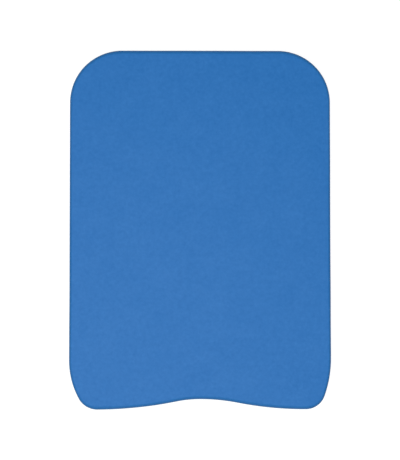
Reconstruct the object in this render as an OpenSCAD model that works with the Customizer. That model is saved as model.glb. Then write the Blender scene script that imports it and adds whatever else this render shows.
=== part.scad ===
// Swimming kickboard: three closed-cell foam sheets glued face to face, cut to one outline and
// rounded over along the rims of both faces. The board lies flat, with +Z up and +Y towards the
// nose, and its origin is under the middle of the board, on the surface that it lies on.

/* [Board] */
// Length from the nose to the tail
board_length = 400; // [340:5:460]
// Width at the widest point, a little ahead of the tail
board_width = 292; // [290:1:310]
// Width just behind the nose corners
nose_width = 289.5; // [270:0.5:290]
// Thickness of the three sheets and the two glue films together
board_thickness = 30; // [20:1:40]

/* [Outline] */
// Radius of the two nose corners
nose_corner_r = 58; // [20:1:110]
// Radius of the long bend that turns each side in towards the tail
hip_r = 108; // [60:2:150]
// Radius of the two tail corners
tail_corner_r = 23; // [10:1:26]
// Distance between the two rearmost points, one on each tail lobe
foot_spacing = 232; // [180:2:240]
// Radius of the hollow arch in the middle of the tail
arch_r = 180; // [60:5:240]
// How far the arch reaches forward of the rearmost points
arch_depth = 11.5; // [6:0.5:20]

/* [Layers] */
// Thickness of each glue film
film_h = 0.3; // [0.1:0.1:0.8]
// Radius of the rounded rim of each face
rim_r = 3.5; // [1:0.5:6]

/* [Hidden] */

// The furthest that a straight facet of the outline lies from the arc that it stands for
facet_error = 0.02;
// Steps round the quarter circle of a rim
rim_steps = 7;

face_blue = [0.23, 0.47, 0.73];
core_blue = [0.21, 0.43, 0.68];
glue_cream = [0.80, 0.78, 0.68];

// Heights of the joins between the layers, above the surface that the board lies on
sheet_h = (board_thickness - 2 * film_h) / 3;
lower_glue_z = sheet_h;
core_z = lower_glue_z + film_h;
upper_glue_z = core_z + sheet_h;
top_sheet_z = upper_glue_z + film_h;

nose_y = board_length / 2;
tail_y = -board_length / 2;
foot_x = foot_spacing / 2;
// The lobe and arch arcs touch, which settles the lobe's radius
lobe_r = (pow(foot_x, 2) / arch_depth + arch_depth) / 2 - arch_r;

// Centres of the arcs on the right-hand side
nose_c = [nose_width / 2 - nose_corner_r, nose_y - nose_corner_r];
tail_corner_c = [foot_x, tail_y + tail_corner_r];
lobe_c = [foot_x, tail_y + lobe_r];
arch_c = [0, tail_y + arch_depth - arch_r];
// The hip arc bulges to the widest point and holds the tail corner's arc against its inside
hip_x = board_width / 2 - hip_r;
hip_rise = sqrt(pow(hip_r - tail_corner_r, 2) - pow(foot_x - hip_x, 2));
hip_c = [hip_x, tail_corner_c.y + hip_rise];

// Directions in which one arc hands over to the next
side_run = hip_c - nose_c;
side_facing = heading(side_run) + acos((nose_corner_r - hip_r) / norm(side_run));
hip_end = heading(tail_corner_c - hip_c);
arch_start = heading(lobe_c - arch_c);

function heading(v) = atan2(v.y, v.x);
function ray(angle) = [cos(angle), sin(angle)];
function but_first(list) = [for (i = [1:len(list) - 1]) list[i]];
function mirrored(spot) = [for (v = spot) [-v.x, v.y]];
function arc_steps(r, sweep) = ceil(abs(sweep) / (2 * acos(1 - facet_error / r)));

// Each spot on the outline is [place, outward normal]. bulge is 1 on an arc that bulges out of
// the board and -1 on a hollow one.
function arc(centre, r, from, to, bulge = 1) =
    let (steps = arc_steps(r, to - from))
    [for (i = [0:steps])
        let (along = ray(from + (to - from) * i / steps))
        [centre + r * along, bulge * along]];

// Down the right-hand side, from the nose to the crown of the arch
right_half = concat(
    arc(nose_c, nose_corner_r, 90, side_facing),
    arc(hip_c, hip_r, side_facing, hip_end),
    but_first(arc(tail_corner_c, tail_corner_r, hip_end, -90)),
    but_first(arc(lobe_c, lobe_r, -90, arch_start - 180)),
    but_first(arc(arch_c, arch_r, arch_start, 90, -1))
);
nose_middle = [[0, nose_y], ray(90)];
// The whole way round, clockwise from above. Every spot can be seen from the middle of the nose.
outline = concat(
    [nose_middle],
    right_half,
    [for (i = [len(right_half) - 2:-1:0]) mirrored(right_half[i])]
);

// One flat layer with square edges
module flat_layer(thickness) {
    linear_extrude(thickness) polygon([for (spot = outline) spot[0]]);
}

// A slab of the outline that stands on z = 0, rounded over along the rim of its upper face
module rounded_slab(height) {
    count = len(outline);
    // Each level is [how far it is set in, height]
    rim = [for (i = [0:rim_steps])
        let (turn = ray(90 * i / rim_steps))
        [rim_r * (1 - turn.x), height - rim_r * (1 - turn.y)]];
    levels = concat([[0, 0]], rim);
    last = len(levels) - 1;
    points = [for (level = levels)
        for (spot = outline)
            let (place = spot[0] - level[0] * spot[1])
            [place.x, place.y, level[1]]];
    underside = [for (i = [count:-1:1]) i % count];
    face = [for (i = [0:count - 1]) last * count + i];
    wall = [for (k = [0:last - 1])
        for (i = [0:count - 1])
            let (next = (i + 1) % count)
            [k * count + i, k * count + next, (k + 1) * count + next, (k + 1) * count + i]];
    polyhedron(points, concat([underside, face], wall));
}

// One outer sheet standing on z = 0: a slab with a glue film under it, pared off down to the film
module outer_sheet() {
    intersection() {
        translate([0, 0, -film_h]) rounded_slab(sheet_h + film_h);
        translate([-board_width, -board_length, 0])
            cube([2 * board_width, 2 * board_length, board_thickness]);
    }
}

module top_sheet() {
    color(face_blue)
        translate([0, 0, top_sheet_z]) outer_sheet();
}

module upper_glue_film() {
    color(glue_cream)
        translate([0, 0, upper_glue_z]) flat_layer(film_h);
}

module core_sheet() {
    color(core_blue)
        translate([0, 0, core_z]) flat_layer(sheet_h);
}

module lower_glue_film() {
    color(glue_cream)
        translate([0, 0, lower_glue_z]) flat_layer(film_h);
}

module bottom_sheet() {
    color(face_blue)
        translate([0, 0, sheet_h]) mirror([0, 0, 1]) outer_sheet();
}

top_sheet();
upper_glue_film();
core_sheet();
lower_glue_film();
bottom_sheet();
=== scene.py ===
"""Looks of a swimming kickboard: three sheets of closed-cell EVA foam, glued face to face, cut to one
outline with a band knife and sanded round along both rims. Everything is in metres, in the part's frame:
+Z up through the thickness, +Y towards the nose."""

import math

import bpy
import numpy as np
from mathutils.geometry import delaunay_2d_cdt
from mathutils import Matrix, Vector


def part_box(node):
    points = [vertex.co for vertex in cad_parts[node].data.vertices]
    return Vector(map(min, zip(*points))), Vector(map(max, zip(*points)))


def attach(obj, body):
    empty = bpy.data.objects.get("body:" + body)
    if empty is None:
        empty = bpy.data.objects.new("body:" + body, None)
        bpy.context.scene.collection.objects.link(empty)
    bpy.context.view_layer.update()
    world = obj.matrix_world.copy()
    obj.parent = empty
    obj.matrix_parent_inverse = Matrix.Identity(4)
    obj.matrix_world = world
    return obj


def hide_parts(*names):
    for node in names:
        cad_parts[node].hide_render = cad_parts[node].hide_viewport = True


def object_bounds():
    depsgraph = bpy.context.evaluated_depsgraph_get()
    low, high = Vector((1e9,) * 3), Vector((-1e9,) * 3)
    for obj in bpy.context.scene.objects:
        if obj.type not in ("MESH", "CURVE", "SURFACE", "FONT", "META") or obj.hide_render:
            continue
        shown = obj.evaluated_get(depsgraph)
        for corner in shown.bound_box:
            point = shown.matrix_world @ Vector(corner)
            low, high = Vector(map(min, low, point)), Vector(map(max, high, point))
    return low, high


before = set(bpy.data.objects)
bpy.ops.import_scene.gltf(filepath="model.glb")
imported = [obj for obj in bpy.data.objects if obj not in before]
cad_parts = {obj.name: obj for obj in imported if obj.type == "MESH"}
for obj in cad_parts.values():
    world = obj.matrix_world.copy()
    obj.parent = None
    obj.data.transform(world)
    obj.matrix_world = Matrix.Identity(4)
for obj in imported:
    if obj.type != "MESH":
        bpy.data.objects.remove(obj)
cad_low, cad_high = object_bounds()

MM = 0.001

# ---------------------------------------------------------------- sizes, from the frame

BOARD_LENGTH = cad_high.y - cad_low.y
BOARD_WIDTH = cad_high.x - cad_low.x
BOARD_TOP = cad_high.z
NOSE_Y = cad_high.y
TAIL_Y = cad_low.y


def layer_heights(node):
    """Heights of the lower and upper face of one layer."""
    low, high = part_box(node)
    return low.z, high.z


# The part's outline dimensions. Cutting by hand left the tail not quite symmetrical: the left hip and the
# left half of the arch bend more tightly than the right ones. So each side has its own numbers for the
# tail, which keep the outline within 1.3 mm of the part's.
NOSE_WIDTH = 289.5 * MM
NOSE_CORNER_R = 58 * MM
ARCH_DEPTH = 11.5 * MM
LEFT_TAIL = {"hip_r": 91 * MM, "corner_r": 23.5 * MM, "foot_x": 114.5 * MM, "arch_r": 135 * MM}
RIGHT_TAIL = {"hip_r": 124 * MM, "corner_r": 22 * MM, "foot_x": 118 * MM, "arch_r": 220 * MM}

# Both rims are sanded round, a little more at the nose and the tail than along the sides.
SIDE_RIM_R = 3 * MM
END_RIM_R = 4.2 * MM
# The board was cut a little out of square: its left side is longer than its right one by this share.
OUT_OF_SQUARE = 0.003
# The glued edges of the foam stand back a little, which leaves a fine groove at each glue film.
EASE_R = 0.35 * MM

# Spacing of the mesh along the outline, over the faces, and up the cut edge
OUTLINE_STEP = 1.5 * MM
FACE_STEP = 4 * MM
HIDDEN_FACE_STEP = 25 * MM
EDGE_STEP = 1.2 * MM
RIM_STEPS = 10
EASE_STEPS = 3
# Turn between the places that stand for an arc, before they are spaced evenly
ARC_STEP = math.radians(0.25)
QUARTER_TURN = math.pi / 2
FULL_TURN = 2 * math.pi
# The triangulator keeps only what is inside the loop, and takes places this close together as one.
INSIDE_ONLY = 1
SAME_PLACE = 0.001 * MM
# The mesh attribute that says how much of the foam is cut
CUT_LAYER = "cut"
# Turns a row of x, y and normal into its mirror image on the other side of the board
MIRROR_ROW = (-1, 1, -1, 1)


# ---------------------------------------------------------------- the outline


def rays(angles):
    return np.stack([np.cos(angles), np.sin(angles)], axis=1)


def heading(x, y):
    return math.atan2(y, x)


def arc(centre, radius, start, stop, bulge=1):
    """Places along an arc and their outward normals. bulge is -1 where the arc is hollow."""
    count = max(2, math.ceil(abs(stop - start) / ARC_STEP))
    along = rays(np.linspace(start, stop, count + 1))
    return np.hstack([centre + radius * along, bulge * along])


def half_outline(hip_r, corner_r, foot_x, arch_r):
    """From the nose down the right-hand side to the crown of the tail's arch, as rows of x, y and normal."""
    nose_c = np.array([NOSE_WIDTH / 2 - NOSE_CORNER_R, NOSE_Y - NOSE_CORNER_R])
    corner_c = np.array([foot_x, TAIL_Y + corner_r])
    hip_x = BOARD_WIDTH / 2 - hip_r
    hip_rise = math.sqrt((hip_r - corner_r) ** 2 - (foot_x - hip_x) ** 2)
    hip_c = np.array([hip_x, corner_c[1] + hip_rise])
    # The lobe and the arch touch, which settles the lobe's radius.
    lobe_r = (foot_x**2 / ARCH_DEPTH + ARCH_DEPTH) / 2 - arch_r
    lobe_c = np.array([foot_x, TAIL_Y + lobe_r])
    arch_c = np.array([0, TAIL_Y + ARCH_DEPTH - arch_r])

    side_run = hip_c - nose_c
    side_facing = heading(*side_run) + math.acos((NOSE_CORNER_R - hip_r) / np.linalg.norm(side_run))
    hip_end = heading(*(corner_c - hip_c))
    arch_start = heading(*(lobe_c - arch_c))
    return np.vstack([
        [0, NOSE_Y, 0, 1],
        arc(nose_c, NOSE_CORNER_R, QUARTER_TURN, side_facing),
        arc(hip_c, hip_r, side_facing, hip_end),
        arc(corner_c, corner_r, hip_end, -QUARTER_TURN),
        arc(lobe_c, lobe_r, -QUARTER_TURN, arch_start - math.pi),
        arc(arch_c, arch_r, arch_start, QUARTER_TURN, bulge=-1),
    ])


def whole_outline():
    """Evenly spaced places round the board, clockwise from above, with their normals and distances."""
    right = half_outline(**RIGHT_TAIL)
    left = half_outline(**LEFT_TAIL)[::-1] * MIRROR_ROW
    rows = np.vstack([right, left])
    gaps = np.linalg.norm(np.diff(rows[:, :2], axis=0), axis=1)
    rows = rows[np.concatenate([[True], gaps > 0])]
    gone = np.concatenate([[0], np.cumsum(gaps[gaps > 0])])
    count = round(gone[-1] / OUTLINE_STEP)
    distance = np.arange(count) * gone[-1] / count
    even = np.stack([np.interp(distance, gone, rows[:, k]) for k in range(rows.shape[1])], axis=1)
    even[:, 1] *= 1 - OUT_OF_SQUARE * even[:, 0] / BOARD_WIDTH
    normals = even[:, 2:] / np.linalg.norm(even[:, 2:], axis=1, keepdims=True)
    return even[:, :2], normals, distance / gone[-1]


PLACES, NORMALS, SHARE_ROUND = whole_outline()
COUNT = len(PLACES)

# The weakest wave of a random drift, against the strongest
WEAKEST_WAVE = 0.4
# Foam faces are a little uneven: this many waves of these lengths, and this far down on average
DIP_WAVES = 8
DIP_LENGTHS = (45 * MM, 170 * MM)
MEAN_DIP = 0.2 * MM


def drift(seed, size, waves):
    """A smooth random offset round the outline. waves are its slowest and fastest, in one trip round."""
    random = np.random.default_rng(seed)
    slowest, fastest = waves
    counts = np.arange(slowest, fastest + 1)
    phases = random.uniform(0, FULL_TURN, len(counts))
    weights = random.uniform(WEAKEST_WAVE, 1, len(counts)) / np.sqrt(counts)
    total = np.cos(FULL_TURN * np.outer(SHARE_ROUND, counts) + phases) @ weights
    return size * total / np.abs(total).max()


def face_dip(seed, places):
    """How far a foam face dips below a true plane at these places: slow waves, never above the plane."""
    random = np.random.default_rng(seed)
    lengths = random.uniform(*DIP_LENGTHS, DIP_WAVES)
    phases = random.uniform(0, FULL_TURN, DIP_WAVES)
    steps = rays(random.uniform(0, math.pi, DIP_WAVES)) * (FULL_TURN / lengths)[:, None]
    return MEAN_DIP * (1 + np.sin(places @ steps.T + phases).mean(axis=1))


# ---------------------------------------------------------------- meshes of the layers


def loop_at(inset, height):
    """One loop of points round the board, set in from the outline."""
    inset = np.broadcast_to(inset, COUNT)
    height = np.broadcast_to(height, COUNT)
    return np.column_stack([PLACES - inset[:, None] * NORMALS, height])


def grid_inside(loop, spacing):
    """A staggered grid of places inside a loop, clear of it by half a step."""
    low, high = loop.min(axis=0), loop.max(axis=0)
    # The rows are as far apart as in a net of equal triangles.
    rows = np.arange(low[1], high[1], spacing * math.sqrt(3) / 2)
    columns = np.arange(low[0], high[0], spacing)
    x, y = np.meshgrid(columns, rows)
    x[1::2] += spacing / 2
    grid = np.column_stack([x.ravel(), y.ravel()])
    start, end = loop, np.roll(loop, -1, axis=0)
    inside = np.zeros(len(grid), bool)
    nearest = np.full(len(grid), np.inf)
    for (x0, y0), (x1, y1) in zip(start, end, strict=True):
        if y0 != y1:
            crossed = (y0 > grid[:, 1]) != (y1 > grid[:, 1])
            crossing_x = x0 + (grid[:, 1] - y0) * (x1 - x0) / (y1 - y0)
            inside ^= crossed & (grid[:, 0] < crossing_x)
        nearest = np.minimum(nearest, np.hypot(grid[:, 0] - x0, grid[:, 1] - y0))
    return grid[inside & (nearest > spacing / 2)]


def filled(loop, spacing):
    """Places inside a loop, and upward triangles that count the loop's places first and then those."""
    extra = grid_inside(loop, spacing)
    places = [tuple(place) for place in np.vstack([loop, extra])]
    border = [list(range(len(loop)))]
    _, _, triangles, origins, _, _ = delaunay_2d_cdt(places, [], border, INSIDE_ONLY, SAME_PLACE)
    source = [same_places[0] for same_places in origins]
    return extra, [[source[corner] for corner in triangle] for triangle in triangles]


def layer_piece(name, loops, cut, spacings, heights, upward=True):
    """A closed layer. loops run from its first face to its second, and cut says how much of each is cut
    foam. spacings are the mesh sizes of the two faces, and heights are two functions that give the height
    of each face at the places inside its loop. upward is False if the second face is the higher one."""
    vertices = [np.vstack(loops)]
    cut_amounts = [np.repeat(cut, COUNT)]
    faces = []
    for level in range(len(loops) - 1):
        above, below = level * COUNT, (level + 1) * COUNT
        for i in range(COUNT):
            j = (i + 1) % COUNT
            faces.append([above + i, above + j, below + j, below + i])
    total = len(loops) * COUNT
    ends = ((loops[0], 0, cut[0]), (loops[-1], (len(loops) - 1) * COUNT, cut[-1]))
    for end, (loop, first, amount) in enumerate(ends):
        extra, triangles = filled(loop[:, :2], spacings[end])
        vertices.append(np.column_stack([extra, heights[end](extra)]))
        cut_amounts.append(np.full(len(extra), amount))
        for triangle in triangles:
            corners = [first + k if k < COUNT else total + k - COUNT for k in triangle]
            faces.append(corners if end == 0 else corners[::-1])
        total += len(extra)
    if not upward:
        faces = [face[::-1] for face in faces]
    mesh = bpy.data.meshes.new(name)
    mesh.from_pydata(np.vstack(vertices).tolist(), [], faces)
    mesh.shade_smooth()
    amounts = mesh.attributes.new(CUT_LAYER, "FLOAT", "POINT")
    amounts.data.foreach_set("value", np.concatenate(cut_amounts).astype(np.float32))
    mesh.validate()
    piece = bpy.data.objects.new(name, mesh)
    bpy.context.scene.collection.objects.link(piece)
    return piece


# The slowest and fastest waves of each drift, counted in one trip round the board
WANDER_WAVES = (2, 9)
FLUTE_WAVES = (140, 380)
SPRING_WAVES = (3, 25)
RIM_WAVES = (2, 12)
GLUE_WAVES = (20, 160)
# The knife's slow wander and its fine flutes run through every layer alike.
WANDER = drift(seed=11, size=0.1 * MM, waves=WANDER_WAVES)
FLUTES = drift(seed=12, size=0.05 * MM, waves=FLUTE_WAVES)
# Each layer springs back from the knife by its own small amount.
SPRING_BACK = 0.09 * MM
# The sander's hand varies the rim's radius by this much.
RIM_DRIFT = 0.2 * MM
# Squeezed-out glue lies this deep in its groove, give or take, and bulges this much at mid-height.
GLUE_DEPTH = 0.22 * MM
GLUE_DRIFT = 0.12 * MM
GLUE_BULGE = 0.06 * MM


def level_plane(height):
    return lambda places: np.full(len(places), height)


def knife_cut(seed, cut):
    """How far the cut edge of one layer stands in from the outline."""
    own = drift(seed, SPRING_BACK, SPRING_WAVES)
    return -(WANDER + cut * (FLUTES + own))


def outer_sheet(name, node, face_up, seed):
    """A sheet with a sanded rim round its face and an eased edge at the glue."""
    low, high = layer_heights(node)
    thickness = high - low
    face_z, into = (high, -1) if face_up else (low, 1)
    endward = NORMALS[:, 1] ** 2
    wider = (END_RIM_R - SIDE_RIM_R) * endward
    # The rim drifts on its own, so it takes the seed after the sheet's.
    rim_r = SIDE_RIM_R + wider + drift(seed + 1, RIM_DRIFT, RIM_WAVES)
    levels = []
    # The cut amount grows round the rim as it turns from the face. The darker cut colour follows it, so the
    # rim gets painted shade as well as the dullness of its open cells.
    for angle in np.linspace(0, QUARTER_TURN, RIM_STEPS + 1):
        levels.append((rim_r * (1 - math.sin(angle)), rim_r * (1 - math.cos(angle)), math.sin(angle)))
    wall_end = thickness - EASE_R
    wall_steps = math.ceil((wall_end - SIDE_RIM_R) / EDGE_STEP)
    for step in range(1, wall_steps + 1):
        levels.append((0, rim_r + (wall_end - rim_r) * step / wall_steps, 1))
    for angle in np.linspace(0, QUARTER_TURN, EASE_STEPS + 1)[1:]:
        levels.append((EASE_R * (1 - math.cos(angle)), wall_end + EASE_R * math.sin(angle), 1))

    loops = []
    cut = []
    for inset, depth, amount in levels:
        loop = loop_at(inset + knife_cut(seed, amount), 0)
        depth = depth + (1 - amount) * face_dip(seed, loop[:, :2])
        loop[:, 2] = face_z + into * depth
        loops.append(loop)
        cut.append(amount)
    heights = (
        lambda places: face_z + into * face_dip(seed, places),
        level_plane(face_z + into * thickness),
    )
    return layer_piece(name, loops, cut, (FACE_STEP, HIDDEN_FACE_STEP), heights, upward=face_up)


def core_sheet(name, node, seed):
    """The middle sheet, with an eased edge at both glue films."""
    low, high = layer_heights(node)
    levels = []
    for angle in np.linspace(0, QUARTER_TURN, EASE_STEPS + 1):
        levels.append((EASE_R * (1 - math.sin(angle)), high - EASE_R * (1 - math.cos(angle))))
    wall_steps = math.ceil((high - low - 2 * EASE_R) / EDGE_STEP)
    for height in np.linspace(high - EASE_R, low + EASE_R, wall_steps + 1)[1:]:
        levels.append((0, height))
    for angle in np.linspace(0, QUARTER_TURN, EASE_STEPS + 1)[1:]:
        levels.append((EASE_R * (1 - math.cos(angle)), low + EASE_R * (1 - math.sin(angle))))
    stand_in = knife_cut(seed, 1)
    loops = [loop_at(inset + stand_in, height) for inset, height in levels]
    heights = (level_plane(high), level_plane(low))
    return layer_piece(name, loops, [1] * len(loops), (HIDDEN_FACE_STEP, HIDDEN_FACE_STEP), heights)


def glue_film(name, node, seed):
    """Dried glue at the bottom of the groove between two sheets, squeezed out a little unevenly."""
    low, high = layer_heights(node)
    edge = GLUE_DEPTH + drift(seed, GLUE_DRIFT, GLUE_WAVES) + knife_cut(seed, 0)
    loops = [
        loop_at(edge + GLUE_BULGE, high),
        loop_at(edge, (low + high) / 2),
        loop_at(edge + GLUE_BULGE, low),
    ]
    heights = (level_plane(high), level_plane(low))
    return layer_piece(name, loops, [0] * len(loops), (HIDDEN_FACE_STEP, HIDDEN_FACE_STEP), heights)


# ---------------------------------------------------------------- materials

# Input and output numbers of a Mix node that mixes colours
MIX_SHARE, MIX_FIRST, MIX_SECOND, MIX_RESULT = 0, 6, 7, 2
# Nearly all of a noise pattern lies between these two values.
NOISE_LOW, NOISE_HIGH = 0.3, 0.7

# The sRGB curve: a straight toe up to its end, and a power above it
BYTE_MAX = 255
TOE_END = 0.04045
TOE_SLOPE = 12.92
CURVE_OFFSET = 0.055
CURVE_POWER = 2.4

# Sizes of the foam's marks
BLOTCH_SIZE = 30 * MM
PEBBLE_SIZE = 5 * MM
OPEN_CELL_SIZE = 1.1 * MM
KNIFE_MARK_SIZE = 0.8 * MM
# Squeezing the pattern's height by this draws the knife's marks out up the cut edge.
KNIFE_MARK_SQUEEZE = (1, 1, 0.06)
# The pebble's share of the mottle, and the range of the mottle from the deep colour to the pale one
PEBBLE_SHARE = 0.55
MOTTLE_DEEP, MOTTLE_PALE = 0.25, 0.75
# How much the knife's marks and the opened cells vary the brightness of the cut edge
KNIFE_MARK_SHADE = 0.045
OPEN_CELL_SHADE = 0.09
# The pressed skin has a soft sheen, and the cut edge has none.
SKIN_DULLEST, SKIN_GLOSSIEST = 0.49, 0.45
CUT_ROUGHNESS = 0.85
RELIEF_STRENGTH = 0.35
RELIEF_HEIGHT = 0.08 * MM
# EVA's own IOR, with the reflection turned down to match the dull skin
EVA_IOR = 1.49
EVA_SPECULAR = 0.18

# Dried polychloroprene glue
GLUE_BLOB_SIZE = 4 * MM
GLUE_SHADE = 0.15
GLUE_ROUGHNESS = 0.42
GLUE_IOR = 1.55

# The opal table: the light that it scatters back, and the light that it gives out
OPAL_ROUGHNESS = 0.9
OPAL_SPECULAR = 0.1
OPAL_GLOW = 0.87


def colour(hex_code):
    """The linear colour of an sRGB hex code."""
    linear = []
    for k in (1, 3, 5):
        part = int(hex_code[k : k + 2], 16) / BYTE_MAX
        if part <= TOE_END:
            linear.append(part / TOE_SLOPE)
        else:
            linear.append(((part + CURVE_OFFSET) / (1 + CURVE_OFFSET)) ** CURVE_POWER)
    return (*linear, 1)


def per_size(size):
    """The scale of a pattern whose marks are this many metres across."""
    return 1 / size


def add_node(owner, kind, inputs, **settings):
    """Adds a shader node. inputs maps a socket's name or number to its value, or to the output that feeds
    it."""
    tree = owner.node_tree
    node = tree.nodes.new(kind)
    for name, value in settings.items():
        setattr(node, name, value)
    for name, value in inputs.items():
        if isinstance(value, bpy.types.NodeSocket):
            tree.links.new(value, node.inputs[name])
        else:
            node.inputs[name].default_value = value
    return node


def new_material(name):
    material = bpy.data.materials.new(name)
    material.use_nodes = True
    material.node_tree.nodes.clear()
    return material


def shade_of(material, pattern, spread):
    """Turns a noise pattern into a brightness that varies from 1 by the spread, each way."""
    limits = {"From Min": NOISE_LOW, "From Max": NOISE_HIGH, "To Min": 1 - spread, "To Max": 1 + spread}
    shade = add_node(material, "ShaderNodeMapRange", {"Value": pattern, **limits}, clamp=False)
    return shade.outputs["Result"]


def eva_foam(name, deep_hex, pale_hex, cut_and_edge_shade_hex):
    """Closed-cell EVA foam, sliced from a bun and hot-pressed, so that its face is a smooth matt skin with a
    broad soft sheen, faintly mottled from its deep colour to its pale one. Where the knife and the sander
    laid its cells open it is duller, with fine marks that run through the thickness. There its colour is
    also darker than the skin's: painted shade on the rims and sides, which turn away from the light."""
    material = new_material(name)
    place = add_node(material, "ShaderNodeTexCoord", {}).outputs["Object"]
    cut = add_node(material, "ShaderNodeAttribute", {}, attribute_name=CUT_LAYER).outputs["Fac"]

    # The foam's density mottles the skin in soft blotches 30 mm across, with finer ones down to 2 mm.
    blotches = add_node(
        material,
        "ShaderNodeTexNoise",
        {"Vector": place, "Scale": per_size(BLOTCH_SIZE), "Detail": 4, "Roughness": 0.95},
    ).outputs["Fac"]
    # The press leaves a fine orange-peel pebble. It is 1 to 2 mm across, and is drawn at 2 to 5 mm so that
    # it shows.
    pebble = add_node(
        material,
        "ShaderNodeTexNoise",
        {"Vector": place, "Scale": per_size(PEBBLE_SIZE), "Detail": 1.3, "Roughness": 0.9},
    ).outputs["Fac"]
    # The opened cells are 0.2 to 0.5 mm across, and are drawn at 1.1 mm so that they show.
    pores = add_node(
        material,
        "ShaderNodeTexVoronoi",
        {"Vector": place, "Scale": per_size(OPEN_CELL_SIZE)},
        feature="SMOOTH_F1",
    ).outputs["Distance"]
    # The knife's marks are about 0.8 mm apart and run up the cut edge.
    upright = add_node(
        material, "ShaderNodeMapping", {"Vector": place, "Scale": KNIFE_MARK_SQUEEZE}
    ).outputs["Vector"]
    marks = add_node(
        material,
        "ShaderNodeTexNoise",
        {"Vector": upright, "Scale": per_size(KNIFE_MARK_SIZE), "Detail": 2},
    ).outputs["Fac"]

    mottle = add_node(
        material, "ShaderNodeMix", {"Factor": PEBBLE_SHARE, "A": blotches, "B": pebble}, data_type="FLOAT"
    ).outputs["Result"]
    paleness = add_node(
        material, "ShaderNodeMapRange", {"Value": mottle, "From Min": MOTTLE_DEEP, "From Max": MOTTLE_PALE}
    ).outputs["Result"]
    torn = add_node(
        material,
        "ShaderNodeMath",
        {0: shade_of(material, marks, KNIFE_MARK_SHADE), 1: shade_of(material, pores, OPEN_CELL_SHADE)},
        operation="MULTIPLY",
    ).outputs["Value"]
    skin = add_node(
        material,
        "ShaderNodeMix",
        {MIX_SHARE: paleness, MIX_FIRST: colour(deep_hex), MIX_SECOND: colour(pale_hex)},
        data_type="RGBA",
    ).outputs[MIX_RESULT]
    # The cut colour is duller than the skin because its cells are open, and darker as painted shade on the
    # rims and sides, which turn away from the light.
    open_cells_and_edge_shade = add_node(
        material, "ShaderNodeHueSaturation", {"Value": torn, "Color": colour(cut_and_edge_shade_hex)}
    ).outputs["Color"]
    tone = add_node(
        material,
        "ShaderNodeMix",
        {MIX_SHARE: cut, MIX_FIRST: skin, MIX_SECOND: open_cells_and_edge_shade},
        data_type="RGBA",
    ).outputs[MIX_RESULT]

    # The press left the skin a little glossier in some blotches than in others.
    pressed = add_node(
        material,
        "ShaderNodeMapRange",
        {
            "Value": blotches,
            "From Min": NOISE_LOW,
            "From Max": NOISE_HIGH,
            "To Min": SKIN_DULLEST,
            "To Max": SKIN_GLOSSIEST,
        },
    ).outputs["Result"]
    roughness = add_node(
        material, "ShaderNodeMix", {"Factor": cut, "A": pressed, "B": CUT_ROUGHNESS}, data_type="FLOAT"
    ).outputs["Result"]
    # The pebble gives the skin its relief, and the knife's marks and opened cells give it to the cut edge.
    relief = add_node(
        material, "ShaderNodeMix", {"Factor": cut, "A": pebble, "B": torn}, data_type="FLOAT"
    ).outputs["Result"]
    bump = add_node(
        material,
        "ShaderNodeBump",
        {"Height": relief, "Strength": RELIEF_STRENGTH, "Distance": RELIEF_HEIGHT},
    ).outputs["Normal"]
    shader = add_node(
        material,
        "ShaderNodeBsdfPrincipled",
        {
            "Base Color": tone,
            "Roughness": roughness,
            "Normal": bump,
            "IOR": EVA_IOR,
            "Specular IOR Level": EVA_SPECULAR,
        },
    ).outputs["BSDF"]
    add_node(material, "ShaderNodeOutputMaterial", {"Surface": shader})
    return material


def dried_contact_glue(name, glue_hex):
    """Polychloroprene contact glue, brushed on and dried: a rubbery khaki line with a slight gloss,
    blotched where it dried thick and thin."""
    material = new_material(name)
    place = add_node(material, "ShaderNodeTexCoord", {}).outputs["Object"]
    blobs = add_node(
        material,
        "ShaderNodeTexNoise",
        {"Vector": place, "Scale": per_size(GLUE_BLOB_SIZE), "Detail": 3},
    ).outputs["Fac"]
    tone = add_node(
        material,
        "ShaderNodeHueSaturation",
        {"Value": shade_of(material, blobs, GLUE_SHADE), "Color": colour(glue_hex)},
    ).outputs["Color"]
    shader = add_node(
        material,
        "ShaderNodeBsdfPrincipled",
        {"Base Color": tone, "Roughness": GLUE_ROUGHNESS, "IOR": GLUE_IOR},
    ).outputs["BSDF"]
    add_node(material, "ShaderNodeOutputMaterial", {"Surface": shader})
    return material


def lit_opal_acrylic(name):
    """The stage: an opal acrylic table lit from below, so that it reads as plain white even in shadow."""
    material = new_material(name)
    shader = add_node(
        material,
        "ShaderNodeBsdfPrincipled",
        {
            "Base Color": colour("#868686"),
            "Roughness": OPAL_ROUGHNESS,
            "Specular IOR Level": OPAL_SPECULAR,
            "Emission Color": colour("#FFFFFF"),
            "Emission Strength": OPAL_GLOW,
        },
    ).outputs["BSDF"]
    add_node(material, "ShaderNodeOutputMaterial", {"Surface": shader})
    return material


# ---------------------------------------------------------------- the board

# Each cut colour is darker than its skin. This is painted shade on the rims and sides, on top of the real
# dullness of the open cells.
face_foam = eva_foam("eva_foam_face_sheet", deep_hex="#005DA2", pale_hex="#1A6AAF", cut_and_edge_shade_hex="#2A5D8B")
core_foam = eva_foam("eva_foam_core_sheet", deep_hex="#005A9C", pale_hex="#1A67A9", cut_and_edge_shade_hex="#285884")
glue = dried_contact_glue("dried_contact_glue", glue_hex="#8C8A72")

top = outer_sheet("top_foam_sheet", "top_sheet", face_up=True, seed=21)
upper_glue = glue_film("upper_glue_line", "upper_glue_film", seed=31)
core = core_sheet("core_foam_sheet", "core_sheet", seed=41)
lower_glue = glue_film("lower_glue_line", "lower_glue_film", seed=51)
bottom = outer_sheet("bottom_foam_sheet", "bottom_sheet", face_up=False, seed=61)

made = (
    (top, "top_sheet", face_foam, "face_foam"),
    (upper_glue, "upper_glue_film", glue, "glue_film"),
    (core, "core_sheet", core_foam, "core_foam"),
    (lower_glue, "lower_glue_film", glue, "glue_film"),
    (bottom, "bottom_sheet", face_foam, "face_foam"),
)
for piece, node, material, slot in made:
    piece.data.materials.append(material)
    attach(piece, "root")
    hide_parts(node)

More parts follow.
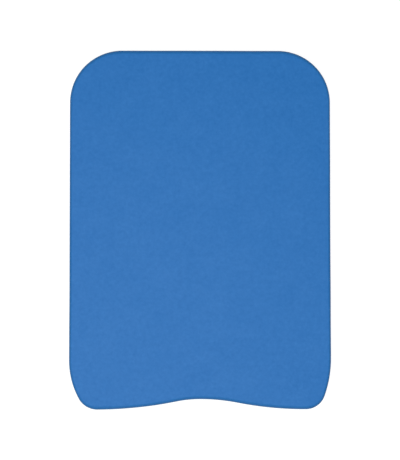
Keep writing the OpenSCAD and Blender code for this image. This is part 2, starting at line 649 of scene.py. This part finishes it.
# ---------------------------------------------------------------- stage, lights and camera

# The table fills every view, and lies just under the board so that their faces don't meet.
TABLE_WIDTH = 12
TABLE_HEIGHT = -0.1 * MM
# The softbox hangs beyond the tail's left corner, so the skin's sheen is strongest there.
SOFTBOX_PLACE = (-0.22, -0.33, 1.95)
SOFTBOX_WIDTH = 1.6
SOFTBOX_WATTS = 39
# The paper is fully lit up to the first of these heights, as the sine of the angle above the horizon, and
# has faded to the overhead brightness at the second.
PAPER_TOP = 0.12
PAPER_FADE = 0.4
HORIZON_BRIGHTNESS = 1.02
OVERHEAD_BRIGHTNESS = 0.25
# The board lies nose up in the view, seen from straight above with a long lens.
BOARD_SHARE_OF_HEIGHT = 0.7795
LENS = 85
SENSOR = 24
CAMERA_Y = 0.12 * MM


def flat_stage(name, width, height):
    mesh = bpy.data.meshes.new(name)
    half = width / 2
    corners = [(-half, -half, height), (half, -half, height), (half, half, height), (-half, half, height)]
    mesh.from_pydata(corners, [], [(0, 1, 2, 3)])
    mesh.materials.append(lit_opal_acrylic("lit_opal_acrylic"))
    stage = bpy.data.objects.new(name, mesh)
    bpy.context.scene.collection.objects.link(stage)


def look_along(direction):
    """The turn that points a lamp or camera, which looks down its own -Z, along a direction."""
    x, y, z = direction / np.linalg.norm(direction)
    return (math.acos(-z), 0, math.atan2(-x, y))


def softbox(name, place, width, watts):
    """A round soft light that faces the middle of the board."""
    lamp = bpy.data.lights.new(name, "AREA")
    lamp.shape = "DISK"
    lamp.size = width
    lamp.energy = watts
    box = bpy.data.objects.new(name, lamp)
    box.location = place
    box.rotation_euler = look_along(-np.array(place))
    bpy.context.scene.collection.objects.link(box)


def paper_surround(name, horizon, overhead):
    """White paper all round, lit at the horizon and dim overhead. The values are its brightness there."""
    world = bpy.data.worlds.new(name)
    world.use_nodes = True
    world.node_tree.nodes.clear()
    heading_out = add_node(world, "ShaderNodeTexCoord", {}).outputs["Generated"]
    rise = add_node(world, "ShaderNodeSeparateXYZ", {"Vector": heading_out}).outputs["Z"]
    limits = {"From Min": PAPER_TOP, "From Max": PAPER_FADE, "To Min": horizon, "To Max": overhead}
    strength = add_node(
        world, "ShaderNodeMapRange", {"Value": rise, **limits}, interpolation_type="SMOOTHSTEP"
    ).outputs["Result"]
    paper = add_node(
        world, "ShaderNodeBackground", {"Color": colour("#FFFFFF"), "Strength": strength}
    ).outputs["Background"]
    add_node(world, "ShaderNodeOutputWorld", {"Surface": paper})
    bpy.context.scene.world = world


flat_stage("light_table", TABLE_WIDTH, TABLE_HEIGHT)
softbox("overhead_softbox", SOFTBOX_PLACE, SOFTBOX_WIDTH, SOFTBOX_WATTS)
paper_surround("paper_surround", HORIZON_BRIGHTNESS, OVERHEAD_BRIGHTNESS)
bpy.context.scene.view_settings.view_transform = "Standard"

camera_data = bpy.data.cameras.new("camera")
camera_data.lens = LENS
camera_data.sensor_fit = "VERTICAL"
camera_data.sensor_height = SENSOR
camera_data.sensor_width = SENSOR
camera = bpy.data.objects.new("camera", camera_data)
view_height = BOARD_LENGTH / BOARD_SHARE_OF_HEIGHT
widest_z = BOARD_TOP - END_RIM_R
camera.location = (0, CAMERA_Y, widest_z + view_height * LENS / SENSOR)
bpy.context.scene.collection.objects.link(camera)
bpy.context.scene.camera = camera
